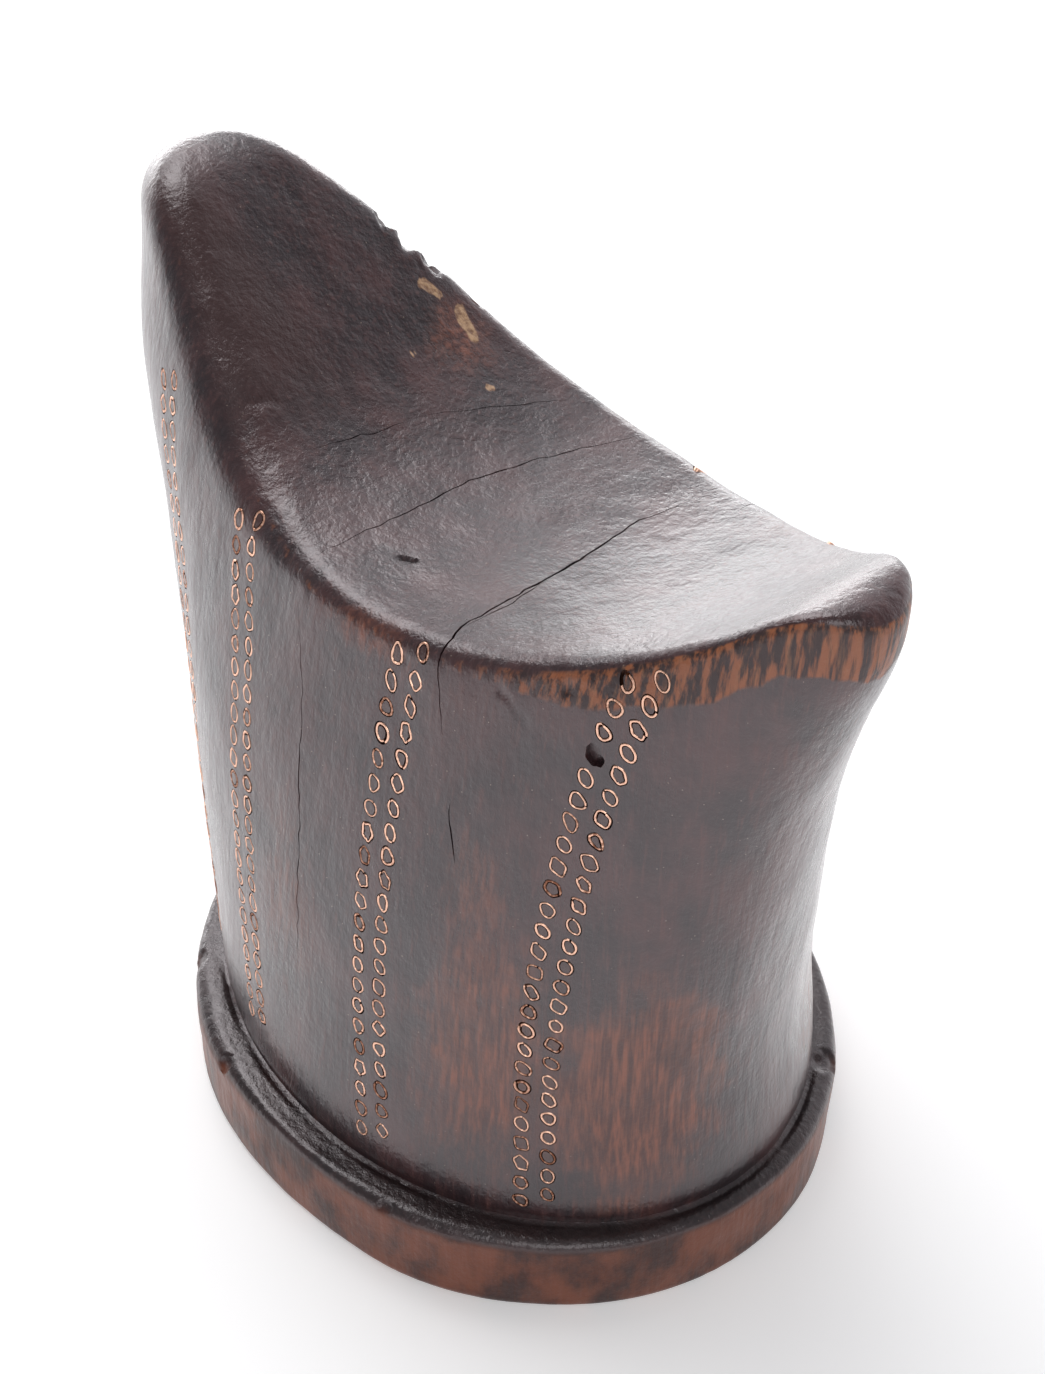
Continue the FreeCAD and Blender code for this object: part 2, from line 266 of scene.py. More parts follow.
def form_rows():
    """Rows of points from the underside, up the plinth and the wall, and over the saddle."""
    angles = np.linspace(0.0, 2 * math.pi, AROUND, endpoint=False)
    plinth = plinth_rows(angles)
    underside = [plinth[0] * (share, share, 1.0) for share in (0.25, 0.5, 0.75, 0.92)]
    foot = wall_points(angles, np.full(AROUND, PLINTH_HEIGHT))
    ledge = [plinth[-1] + (foot - plinth[-1]) * share for share in np.linspace(0, 1, LEDGE_ROWS)[1:-1]]
    rim = rim_heights(angles)
    wall = []
    for share in np.linspace(0.0, 1.0, WALL_ROWS):
        wall.append(wall_points(angles, PLINTH_HEIGHT + (rim - PLINTH_HEIGHT) * share))
    top = []
    for share in np.linspace(1.0, 0.0, TOP_ROWS, endpoint=False)[1:]:
        ring = wall[-1] * (share, share, 1.0)
        ring[:, 2] = saddle_height(ring[:, 0])
        top.append(ring)
    upper = np.concatenate([np.concatenate(wall[2:]), np.concatenate(top)])
    upper = settle_on_block(upper).reshape(-1, AROUND, 3)
    return np.stack(underside + plinth + ledge + wall[:2] + list(upper))


def row_normals(rows):
    """Outward directions of a closed grid of rows, the first row at the underside."""
    around = np.roll(rows, -1, axis=1) - np.roll(rows, 1, axis=1)
    upward = np.gradient(rows, axis=0)
    normal = np.cross(around, upward)
    return normal / (np.linalg.norm(normal, axis=2, keepdims=True) + 1e-9)


# ---------------------------------------------------------------- the carver's marks and wear

# Chips knocked off the wood: place, radius and depth.
CHIPS = [
    ((-71.0, 27.0, 183.0), 3.4, 1.3),
    ((-66.0, 28.0, 179.0), 4.2, 1.7),
    ((-60.5, 29.5, 175.5), 3.6, 1.5),
    ((-50.6, 33.8, 170.0), 2.2, 0.9),
    ((13.0, -42.0, 154.0), 2.2, 0.7),
    ((29.6, -39.0, 157.0), 2.0, 0.7),
    ((35.1, -37.5, 158.5), 2.4, 0.8),
    ((47.8, -32.5, 164.0), 2.4, 0.7),
    ((74.0, -21.0, 184.5), 3.4, 0.9),
    ((78.0, -19.0, 187.5), 3.2, 1.0),
    ((81.5, -17.0, 190.5), 2.0, 0.7),
    ((-24.0, -66.0, 22.0), 2.6, 1.1),
    ((-52.0, -51.0, 21.0), 3.0, 0.8),
    ((30.0, -64.5, 22.5), 2.2, 0.7),
    ((66.0, 36.0, 22.0), 3.4, 1.0),
    ((-20.0, 68.0, 21.0), 3.8, 1.0),
]

# Short grooves: start, end, half width and depth.
GROOVES = [
    ((35.6, -35.2, 157.0), (41.6, -34.4, 152.4), 0.8, 0.8),
    ((-52.5, -31.0, 171.0), (-50.0, -21.0, 170.0), 0.7, 0.5),
    ((-7.0, -24.6, 157.0), (-4.4, -23.2, 157.0), 0.6, 0.8),
    ((77.0, -19.5, 184.5), (77.5, -19.0, 176.5), 1.1, 0.5),
    ((84.5, -16.0, 190.0), (84.5, -15.5, 180.5), 0.8, 0.35),
    ((88.0, -13.0, 191.0), (87.6, -12.8, 182.0), 0.7, 0.35),
    ((93.4, -4.6, 192.5), (92.4, -4.2, 180.0), 1.0, 0.7),
    ((87.0, -13.0, 176.5), (88.5, -11.5, 177.5), 0.7, 0.5),
    ((56.0, -31.5, 152.0), (59.0, -30.5, 152.5), 0.5, 0.4),
    ((13.5, 44.0, 140.0), (15.0, 46.0, 128.0), 0.7, 0.5),
]

# Corners (outwards) and flats (inwards) of the plinth: place in degrees from +X, reach, amount.
OUTLINE_BUMPS = [(-116.0, 15.0, 1.3), (-160.0, 22.0, -1.3), (-88.0, 12.0, -0.5), (-62.0, 14.0, 0.4),
                 (-20.0, 16.0, -0.5), (60.0, 20.0, -0.9), (140.0, 22.0, -0.7)]

# The uneven surface that the carver left: size of the bumps, depth and seed.
CARVED_LAYERS = {
    "waves": (46.0, 0.55, 1),
    "dents": (17.0, 0.22, 2),
    "gouges": ((7.0, 7.0, 30.0), 0.16, 3),
    "scratches": ((2.2, 2.2, 7.0), 0.05, 4),
    "plinth_dents": ((10.0, 10.0, 8.0), 0.25, 5),
}


def distance_to_stretch(points, start, end):
    start = np.array(start)
    along = np.array(end) - start
    share = np.clip((points - start) @ along / (along @ along), 0.0, 1.0)
    return np.linalg.norm(points - start - share[:, None] * along, axis=1)


def uneven_outline(points):
    """The plinth's outline is an oval with a blunt corner and a few flats."""
    angle = np.degrees(np.arctan2(points[:, 1] / PLINTH_HALF_WIDTH, points[:, 0] / PLINTH_HALF_LENGTH))
    out = np.zeros(len(points))
    for centre, reach, amount in OUTLINE_BUMPS:
        turn = (angle - centre + 180.0) % 360.0 - 180.0
        out += amount * np.exp(-(turn / reach) ** 2)
    return out


def carved_layer(points, name):
    size, depth, seed = CARVED_LAYERS[name]
    return depth * lattice_noise(points, size, seed)


def carving(points):
    """How far the real surface stands out from the plain form, in mm."""
    on_wall = smooth_step(PLINTH_HEIGHT + 2, PLINTH_HEIGHT + 8, points[:, 2])
    on_plinth = 1 - smooth_step(PLINTH_HEIGHT - 4, PLINTH_HEIGHT + 1, points[:, 2])
    out = carved_layer(points, "waves")
    out += carved_layer(points, "dents")
    out += on_wall * carved_layer(points, "gouges")
    out += carved_layer(points, "scratches")
    out += on_plinth * carved_layer(points, "plinth_dents")
    out += on_plinth * uneven_outline(points)
    near_floor = smooth_step(1.5, 0.0, points[:, 2])
    out *= 1 - near_floor
    ragged = 0.35 * lattice_noise(points, 1.8, 6)
    for place, radius, depth in CHIPS:
        distance = np.linalg.norm(points - place, axis=1) / radius
        distance += ragged
        out -= depth * smooth_step(1.0, 0.55, distance)
    for start, end, half_width, depth in GROOVES:
        distance = distance_to_stretch(points, start, end) / half_width
        out -= depth * smooth_step(1.2, 0.3, distance)
    return out


def junction_groove(points):
    """The knife line cut where the body stands on the ledge, and the dished ledge."""
    wall = outside_wall(points)
    level = np.exp(-((points[:, 2] - PLINTH_HEIGHT) / 1.6) ** 2)
    line = np.exp(-((wall - 0.5) / 0.8) ** 2)
    dish = smooth_step(0.0, 2.0, wall) * smooth_step(7.0, 3.0, wall)
    uneven = np.clip(0.5 + 0.9 * lattice_noise(points, 14.0, 8), 0.0, 1.0)
    broken = np.clip(0.55 + 0.8 * lattice_noise(points, 9.0, 9), 0.0, 1.0)
    return -level * (0.75 * line * broken + 0.4 * dish * uneven)


def mesh_object(name, vertices, faces):
    mesh = bpy.data.meshes.new(name)
    mesh.from_pydata((np.asarray(vertices) * MM).tolist(), [], faces)
    mesh.validate()
    mesh.update()
    piece = bpy.data.objects.new(name, mesh)
    bpy.context.scene.collection.objects.link(piece)
    return piece


def quads_between(row_count, size, start_index=0, closed=False):
    """Quads between loops of points; if closed, the last loop is joined to the first as well."""
    faces = []
    for row in range(row_count if closed else row_count - 1):
        first = start_index + row * size
        after = start_index + (row + 1) % row_count * size
        for corner in range(size):
            following = (corner + 1) % size
            faces.append((first + corner, first + following, after + following, after + corner))
    return faces


def capped_tube_faces(row_count, size, start_index=0):
    """Quads between loops of points, and a face over the first loop and over the last."""
    faces = quads_between(row_count, size, start_index)
    last = start_index + (row_count - 1) * size
    faces.append(tuple(start_index + corner for corner in reversed(range(size))))
    faces.append(tuple(last + corner for corner in range(size)))
    return faces


def block_faces(row_count, around):
    """Quads between rows of points, then a fan to one point at each end."""
    faces = quads_between(row_count, around)
    bottom = row_count * around
    top = bottom + 1
    last = (row_count - 1) * around
    for column in range(around):
        right = (column + 1) % around
        faces.append((bottom, right, column))
        faces.append((top, last + column, last + right))
    return faces


def carve_block():
    """The block with its irregular surface, before the sockets and cracks are cut."""
    rows = form_rows()
    normals = row_normals(rows)
    points = rows.reshape(-1, 3)
    out = carving(points) + junction_groove(points)
    points = points + normals.reshape(-1, 3) * out[:, None]
    points[:, 2] = np.maximum(points[:, 2], 0.0)
    bottom = np.array([[0.0, 0.0, 0.0]])
    top = np.array([[0.0, 0.0, points[-AROUND:, 2].mean()]])
    faces = block_faces(len(rows), AROUND)
    return mesh_object("carved_block", np.concatenate([points, bottom, top]), faces)


# ---------------------------------------------------------------- places on the surface

class Surface:
    """The carved surface, for laying rings and cracks on it, in mm."""

    def __init__(self, piece):
        vertices = [vertex.co / MM for vertex in piece.data.vertices]
        faces = [polygon.vertices[:] for polygon in piece.data.polygons]
        self.tree = BVHTree.FromPolygons(vertices, faces)

    def at(self, point):
        """Nearest point of the surface and the direction out of the wood there."""
        place, normal, _, _ = self.tree.find_nearest(Vector(point))
        return place, normal

    def soft_normal(self, point, reach=1.5):
        """The direction out of the wood, averaged over a small patch."""
        total = Vector((0.0, 0.0, 0.0))
        for offset in itertools.product((-reach, 0.0, reach), repeat=3):
            total += self.at(Vector(point) + Vector(offset))[1]
        return total.normalized()


def ring_places(node):
    """Centre of each ring of a CAD column, from the highest to the lowest, in mm."""
    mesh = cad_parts[node].data
    corners = [tuple(round(value / MM, 3) for value in vertex.co) for vertex in mesh.vertices]
    parent = {corner: corner for corner in corners}

    def root(corner):
        while parent[corner] != corner:
            parent[corner] = parent[parent[corner]]
            corner = parent[corner]
        return corner

    for edge in mesh.edges:
        first, second = (root(corners[index]) for index in edge.vertices)
        parent[first] = second
    groups = {}
    for corner in parent:
        groups.setdefault(root(corner), []).append(corner)
    centres = []
    for group in groups.values():
        low = np.min(group, axis=0)
        high = np.max(group, axis=0)
        centres.append(Vector((low + high) / 2))
    return sorted(centres, key=lambda centre: -centre.z)


# ---------------------------------------------------------------- rings and their sockets

# A strip goes a little deeper than its socket, so its foot is held by the wood.
RING_HALF_HEIGHT = 2.1
RING_HALF_WIDTH = 1.6
STRIP_THICKNESS = 0.45
RING_DEPTH = 2.4
RING_BEVEL = 0.12
SOCKET_GAP = 0.13
SOCKET_DEPTH = RING_DEPTH - 0.4
SOCKET_RISE = 1.5
RING_POINTS = 44
LEANS = {"outer": 24.0, "inner": 12.0}

# Beyond this share of a column, counted from its top, the rings get duller at this rate.
DULL_FROM = 0.75
DULL_RATE = 2.5

# The column with a torn ring at its top, how much of that ring is left, in radians, and the two
# rings that the lost ring was between.
DAMAGED_COLUMN = "rings_front_low_outer_left"
TORN_SPAN = 3.9
BESIDE_LOST = (2, 3)

# The pit of the lost ring: half its height and width, points round it, and its depth and size at
# each level, from above the wood to the bottom.
PIT_HALF_HEIGHT = 2.5
PIT_HALF_WIDTH = 1.7
PIT_POINTS = 28
PIT_LEVELS = ((-1.0, 1.06), (0.3, 1.0), (1.5, 0.86))

# Edges sharper than these, in degrees, are shaded as edges.
COPPER_EDGE = 38
WOOD_EDGE = 42


class Ring:
    """One bent strip: where it sits, its outline and how worn it is."""

    def __init__(self, place, normal, lean, chance):
        self.place = place
        self.normal = normal
        right = Vector((0.0, 0.0, 1.0)).cross(normal).normalized()
        up = normal.cross(right)
        tilt = math.radians(lean + chance.uniform(-7.0, 7.0))
        self.long_axis = up * math.cos(tilt) - right * math.sin(tilt)
        self.short_axis = right * math.cos(tilt) + up * math.sin(tilt)
        self.half_height = RING_HALF_HEIGHT * chance.uniform(0.90, 1.06)
        self.half_width = RING_HALF_WIDTH * chance.uniform(0.84, 1.06)
        self.thickness = STRIP_THICKNESS * chance.uniform(0.80, 1.20)
        self.corner = chance.uniform(0.02, 0.10)
        self.corner_turn = chance.uniform(0.0, 2 * math.pi)
        self.corner_count = chance.choice((2, 3, 3, 4, 5))
        self.point = max(0.0, chance.uniform(-0.10, 0.20))
        self.seam = chance.choice((0.35, 0.6, 2.4, 2.8, -0.5)) + chance.uniform(-0.2, 0.2)
        self.seam_gap = chance.uniform(0.02, 0.28)
        self.spiral = chance.uniform(-0.5, 0.9)
        self.stand = chance.uniform(0.02, 0.12)
        self.dull = chance.random() ** 2.2

    def outline(self, turn):
        """Middle line of the strip at a turn, as distances along the long and short axes."""
        swell = 1 + self.corner * math.cos(self.corner_count * turn + self.corner_turn)
        swell += self.point * max(0.0, math.cos(turn)) ** 6
        middle = self.thickness / 2
        return ((self.half_height - middle) * swell * math.cos(turn),
                (self.half_width - middle) * swell * math.sin(turn))

    def point_at(self, turn, outward, depth):
        """A point beside the middle line, outward of it and below the surface."""
        along, across = self.outline(turn)
        length = math.hypot(along, across)
        scale = 1 + outward / length
        offset = self.long_axis * along * scale + self.short_axis * across * scale
        return self.place + offset - self.normal * depth


def ring_section(ring):
    """Corners of the strip's cross-section: outward distance and depth."""
    half = ring.thickness / 2
    shoulder = RING_BEVEL - ring.stand
    return [(-half, RING_DEPTH), (-half, shoulder), (-half + RING_BEVEL, -ring.stand),
            (half - RING_BEVEL, -ring.stand), (half, shoulder), (half, RING_DEPTH)]


def ring_mesh(ring, start_index, span=None):
    """An open strip bent round the outline, its two ends nearly meeting at the seam."""
    span = span or 2 * math.pi - ring.seam_gap
    section = ring_section(ring)
    vertices = []
    for step in range(RING_POINTS + 1):
        share = step / RING_POINTS
        turn = ring.seam + ring.seam_gap / 2 + span * share
        drift = ring.spiral * ring.thickness * (share - 0.5)
        for outward, depth in section:
            vertices.append(ring.point_at(turn, outward + drift, depth))
    return vertices, capped_tube_faces(RING_POINTS + 1, len(section), start_index)


def socket_mesh(ring, start_index):
    """A closed tube a little wider than the strip, for cutting its socket."""
    half = ring.thickness * (0.5 + abs(ring.spiral) / 3) + SOCKET_GAP
    section = [(-half, SOCKET_DEPTH), (-half, -SOCKET_RISE), (half, -SOCKET_RISE), (half, SOCKET_DEPTH)]
    vertices = []
    for step in range(RING_POINTS):
        turn = 2 * math.pi * step / RING_POINTS
        for outward, depth in section:
            vertices.append(ring.point_at(turn, outward, depth))
    return vertices, quads_between(RING_POINTS, len(section), start_index, closed=True)


def socket_cutter(rings):
    """The tubes of all rings, in one mesh."""
    vertices, faces = [], []
    for ring in rings:
        more_vertices, more_faces = socket_mesh(ring, len(vertices))
        vertices += more_vertices
        faces += more_faces
    return mesh_object("cutter_sockets", vertices, faces)


def lay_rings(surface):
    """A list of rings for every CAD column node."""
    columns = {}
    for node in sorted(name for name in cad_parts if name.startswith("rings_")):
        chance = random.Random(node)
        lean = LEANS["outer"] if "outer" in node else LEANS["inner"]
        rings = []
        places = ring_places(node)
        for index, centre in enumerate(places):
            outward = surface.soft_normal(centre)
            place, _ = surface.at(centre + outward * RING_DEPTH / 2)
            ring = Ring(place, surface.soft_normal(place), lean, chance)
            low_down = max(0.0, index / len(places) - DULL_FROM)
            ring.dull = min(1.0, ring.dull + DULL_RATE * low_down)
            rings.append(ring)
        columns[node] = rings
    return columns


def build_ring_column(node, rings, copper):
    vertices, faces = [], []
    dullness = []
    for index, ring in enumerate(rings):
        span = None
        if node == DAMAGED_COLUMN and index == 0:
            span = TORN_SPAN
        more_vertices, more_faces = ring_mesh(ring, len(vertices), span)
        vertices += more_vertices
        faces += more_faces
        dullness += [ring.dull] * len(more_vertices)
    piece = mesh_object(node + "_strips", vertices, faces)
    attribute = piece.data.attributes.new("dull", "FLOAT", "POINT")
    attribute.data.foreach_set("value", dullness)
    piece.data.shade_smooth()
    piece.data.set_sharp_from_angle(angle=math.radians(COPPER_EDGE))
    piece.data.materials.append(copper)
    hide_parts(node)
    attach(piece, "root")
    return piece


# ---------------------------------------------------------------- cracks and sockets

# Drying cracks: a path over the wood, greatest width and depth.
CRACKS = {
    "saddle_high": ([(-17.5, -37.0, 158), (-16.5, -17.0, 158), (-16.0, 1.0, 158), (-12.5, 17.0, 158),
                     (-5.0, 39.0, 157)], 0.34, 2.2),
    "saddle_low": ([(24.5, -40.5, 143), (22.6, -40.2, 149), (21.0, -38.5, 156), (19.8, -35.0, 159),
                    (18.2, -29.0, 159), (18.6, -8.0, 159), (16.6, 16.0, 159), (21.0, 33.0, 160)], 0.5, 3.2),
    "saddle_branch": ([(18.8, -30.5, 159), (19.8, -20.0, 159), (18.7, -9.5, 159)], 0.3, 1.6),
    "saddle_faint": ([(-38.5, -21.0, 164), (-36.0, -10.0, 164), (-34.5, 0.0, 163)], 0.22, 1.0),
    "saddle_back": ([(-34.0, 4.0, 163), (-29.0, 18.0, 162), (-22.0, 34.0, 160)], 0.2, 1.0),
    "wall_low": ([(28.8, -43.4, 130), (30.0, -44.2, 124), (31.8, -45.2, 117)], 0.3, 1.4),
    "wall_front": ([(-16.0, -42.6, 150), (-10.4, -48.0, 131), (-6.2, -54.6, 98), (-4.8, -57.8, 67)],
                   0.28, 1.6),
    "wall_back": ([(-30.0, 38.0, 150), (-34.0, 45.0, 124), (-33.0, 50.0, 98)], 0.3, 1.6),
    "back_rim": ([(30.0, 30.0, 162), (31.0, 38.5, 157), (33.0, 41.0, 146)], 0.35, 1.8),
}
CRACK_STEP = 2.4
CRACK_WANDER = 0.35
CRACK_RISE = 0.8


def even_steps(path, step):
    """Points at about equal steps along a path."""
    points = []
    for start, end in zip(path, path[1:]):
        start, end = Vector(start), Vector(end)
        count = max(1, round((end - start).length / step))
        points += [start.lerp(end, index / count) for index in range(count)]
    points.append(Vector(path[-1]))
    return points


def crack_blade(surface, name, path, width, depth):
    """A thin wedge that follows the path and tapers to both ends."""
    chance = random.Random(name)
    places = []
    for point in even_steps(path, CRACK_STEP):
        wander = Vector([chance.uniform(-CRACK_WANDER, CRACK_WANDER) for _ in range(3)])
        places.append(surface.at(point + wander))
    vertices = []
    for index, (place, normal) in enumerate(places):
        before = places[max(index - 1, 0)][0]
        after = places[min(index + 1, len(places) - 1)][0]
        side = (after - before).cross(normal).normalized()
        share = index / (len(places) - 1)
        taper = max(0.12, math.sin(math.pi * min(max(share, 0.02), 0.98)) ** 0.6)
        half = width / 2 * taper * chance.uniform(0.6, 1.3)
        deep = depth * taper
        spread = half * (1 + CRACK_RISE / deep)
        above = place + normal * CRACK_RISE
        vertices += [above + side * spread, above - side * spread, place - normal * deep]
    return mesh_object("cutter_" + name, vertices, capped_tube_faces(len(places), 3))


def lost_socket(columns):
    """The empty oval pit where a ring has fallen out, between its neighbours."""
    above, below = (columns[DAMAGED_COLUMN][index] for index in BESIDE_LOST)
    pit = Ring((above.place + below.place) / 2, (above.normal + below.normal).normalized(),
               LEANS["outer"], random.Random("lost ring"))
    vertices = []
    for depth, size in PIT_LEVELS:
        for step in range(PIT_POINTS):
            turn = 2 * math.pi * step / PIT_POINTS
            ragged = size * (1 + 0.07 * math.sin(3 * turn + 1) + 0.05 * math.sin(7 * turn))
            along = PIT_HALF_HEIGHT * ragged * math.cos(turn)
            across = PIT_HALF_WIDTH * ragged * math.sin(turn)
            offset = pit.long_axis * along + pit.short_axis * across
            vertices.append(pit.place + offset - pit.normal * depth)
    return mesh_object("cutter_lost_socket", vertices, capped_tube_faces(len(PIT_LEVELS), PIT_POINTS))


def face_outward(piece):
    """Turns the faces of a closed cutter so that they point out of it."""
    work = bmesh.new()
    work.from_mesh(piece.data)
    bmesh.ops.recalc_face_normals(work, faces=work.faces)
    work.to_mesh(piece.data)
    work.free()


def cut(block, cutters):
    """Takes every cutter out of the block and returns the block as a new mesh."""
    for cutter in cutters:
        face_outward(cutter)
        modifier = block.modifiers.new(cutter.name, "BOOLEAN")
        modifier.operation = "DIFFERENCE"
        modifier.solver = "MANIFOLD"
        modifier.object = cutter
    depsgraph = bpy.context.evaluated_depsgraph_get()
    mesh = bpy.data.meshes.new_from_object(block.evaluated_get(depsgraph))
    block.modifiers.clear()
    block.data = mesh
    for cutter in cutters:
        bpy.data.objects.remove(cutter)


# ---------------------------------------------------------------- wear and painted shade, painted on the points

# Where the dark skin has worn down to redder wood: place, reach along X, Y and Z, and amount.
RUDDY_PATCHES = [
    ((66.0, -26.0, 62.0), (26.0, 26.0, 46.0), 0.95),
    ((40.0, -44.0, 66.0), (22.0, 20.0, 46.0), 0.75),
    ((36.0, -42.0, 112.0), (12.0, 16.0, 20.0), 0.5),
    ((-10.0, -56.0, 80.0), (14.0, 20.0, 40.0), 0.4),
    ((4.0, -42.0, 154.0), (16.0, 8.0, 6.0), 0.6),
    ((-46.0, 23.0, 168.0), (17.0, 11.0, 12.0), 0.6),
    ((60.0, 34.0, 50.0), (34.0, 26.0, 30.0), 0.7),
    ((-20.0, 60.0, 44.0), (40.0, 26.0, 26.0), 0.6),
    ((-78.0, -24.0, 40.0), (22.0, 30.0, 24.0), 0.5),
    ((-80.0, 12.0, 90.0), (22.0, 26.0, 34.0), 0.45),
]

# Scars that show pale wood: start, end and half width.
PALE_SCARS = [
    ((-57.5, 24.0, 174.0), (-54.5, 25.5, 172.0), 1.6),
    ((-50.0, 28.0, 170.0), (-42.0, 26.5, 166.5), 1.8),
    ((-46.5, 11.9, 168.0), (-46.2, 12.3, 168.0), 1.1),
    ((-33.3, 21.4, 162.0), (-32.8, 21.8, 162.0), 1.1),
]


def wear_masks(points):
    """Soft masks over the wood: worn rim, ruddy wood, plinth, pale scars, ledge, and painted shade on the
    high horn's rounded rim.
    """
    below_top = saddle_height(points[:, 0]) - points[:, 2]
    height, _ = worn_strip(points)
    wall = outside_wall(points)
    ragged = 0.25 * lattice_noise(points, 3.0, 11) + 0.2 * lattice_noise(points, 9.0, 12)
    in_strip = smooth_step(0.8, 2.2, below_top) * smooth_step(1.12, 0.86, below_top / height + 0.4 * ragged)
    on_side = smooth_step(-4.2, -2.2, wall)
    toward_low_horn = smooth_step(20.0, 76.0, points[:, 0])
    front = smooth_step(22.0, -5.0, points[:, 1])
    rim = in_strip * on_side * (0.34 + 0.66 * toward_low_horn * (0.4 + 0.6 * front))

    ruddy = np.zeros(len(points))
    for place, reach, amount in RUDDY_PATCHES:
        distance = np.linalg.norm((points - place) / reach, axis=1)
        ruddy = np.maximum(ruddy, amount * smooth_step(1.15, 0.2, distance + 0.6 * ragged))
    plinth = smooth_step(PLINTH_HEIGHT - 1.2, PLINTH_HEIGHT - 3.4, points[:, 2])

    pale = np.zeros(len(points))
    for start, end, half_width in PALE_SCARS:
        distance = distance_to_stretch(points, start, end) / half_width
        pale = np.maximum(pale, smooth_step(1.2, 0.5, distance + 1.6 * ragged))

    on_level = np.exp(-((points[:, 2] - PLINTH_HEIGHT) / 2.4) ** 2)
    ledge = on_level * smooth_step(-0.6, 0.6, wall)
    near_edge = smooth_step(-2.9, -0.4, below_top) * smooth_step(5.6, 0.6, below_top)
    # Painted shade: the rounded front rim of the high horn is coloured near black, standing in for the dim
    # side of the room that it reflects.
    ridge_painted_shade = smooth_step(-34.0, -62.0, points[:, 0]) * near_edge * smooth_step(0.0, -12.0, points[:, 1])
    return {"rim": rim, "ruddy": ruddy, "plinth": plinth, "pale": pale, "ledge": ledge, "ridge_painted_shade": ridge_painted_shade}


def inside_rings(points, rings):
    """A mask over the wood framed by each ring."""
    tree = KDTree(len(points))
    for index, point in enumerate(points):
        tree.insert(point, index)
    tree.balance()
    inside = np.zeros(len(points))
    for ring in rings:
        for _, index, distance in tree.find_range(ring.place, ring.half_height):
            inside[index] = max(inside[index], 1.15 - distance / ring.half_height)
    return inside


def paint_masks(piece, rings):
    mesh = piece.data
    points = np.empty(len(mesh.vertices) * 3)
    mesh.vertices.foreach_get("co", points)
    points = points.reshape(-1, 3) / MM
    masks = wear_masks(points)
    masks["inlay"] = inside_rings(points, rings)
    for name, values in masks.items():
        attribute = mesh.attributes.new(name, "FLOAT", "POINT")
        attribute.data.foreach_set("value", np.clip(values, 0.0, 1.0))


# ---------------------------------------------------------------- materials

# The places of the colour sockets on a Mix node, which also has sockets for numbers.
MIX_FIRST = 6
MIX_SECOND = 7
MIX_RESULT = 2


class Shader:
    """A material's node tree, with a short way to add and join nodes."""

    def __init__(self, name):
        self.material = bpy.data.materials.new(name)
        self.material.use_nodes = True
        self.tree = self.material.node_tree
        self.surface = self.tree.nodes["Principled BSDF"]
        self.place = self.add("ShaderNodeTexCoord").outputs["Object"]

    def add(self, kind, **settings):
        node = self.tree.nodes.new(kind)
        for key, value in settings.items():
            setattr(node, key, value)
        return node

    def join(self, source, target):
        if isinstance(source, (int, float, tuple)):
            target.default_value = source
        else:
            self.tree.links.new(source, target)

    def noise(self, stretch, detail=4.0, roughness=0.55, distortion=0.0):
        """Noise with the given number of bumps per metre along X, Y and Z."""
        mapping = self.add("ShaderNodeMapping")
        self.join(self.place, mapping.inputs["Vector"])
        mapping.inputs["Scale"].default_value = stretch
        noise = self.add("ShaderNodeTexNoise")
        self.join(mapping.outputs["Vector"], noise.inputs["Vector"])
        noise.inputs["Scale"].default_value = 1.0
        noise.inputs["Detail"].default_value = detail
        noise.inputs["Roughness"].default_value = roughness
        noise.inputs["Distortion"].default_value = distortion
        return noise.outputs["Fac"]

    def mask(self, name):
        return self.add("ShaderNodeAttribute", attribute_name=name).outputs["Fac"]

    def ramp(self, value, low, high, start=0.0, end=1.0):
        """Start below low, end above high, and smooth between them."""
        node = self.add("ShaderNodeMapRange", interpolation_type="SMOOTHSTEP")
        self.join(value, node.inputs["Value"])
        node.inputs["From Min"].default_value = low
        node.inputs["From Max"].default_value = high
        node.inputs["To Min"].default_value = start
        node.inputs["To Max"].default_value = end
        return node.outputs["Result"]

    def math(self, operation, first, second):
        node = self.add("ShaderNodeMath", operation=operation)
        self.join(first, node.inputs[0])
        self.join(second, node.inputs[1])
        return node.outputs["Value"]

    def blend(self, amount, first, second):
        node = self.add("ShaderNodeMix", data_type="RGBA")
        self.join(amount, node.inputs["Factor"])
        self.join(first, node.inputs[MIX_FIRST])
        self.join(second, node.inputs[MIX_SECOND])
        return node.outputs[MIX_RESULT]

    def specks(self, per_metre, size):
        """Small dots scattered over the surface."""
        cells = self.add("ShaderNodeTexVoronoi", feature="F1")
        self.join(self.place, cells.inputs["Vector"])
        cells.inputs["Scale"].default_value = per_metre
        cells.inputs["Randomness"].default_value = 1.0
        return self.ramp(cells.outputs["Distance"], size, size * 0.6)

    def bump(self, height, depth, strength, below=None):
        node = self.add("ShaderNodeBump")
        node.inputs["Distance"].default_value = depth
        node.inputs["Strength"].default_value = strength
        self.join(height, node.inputs["Height"])
        if below is not None:
            self.join(below, node.inputs["Normal"])
        return node.outputs["Normal"]


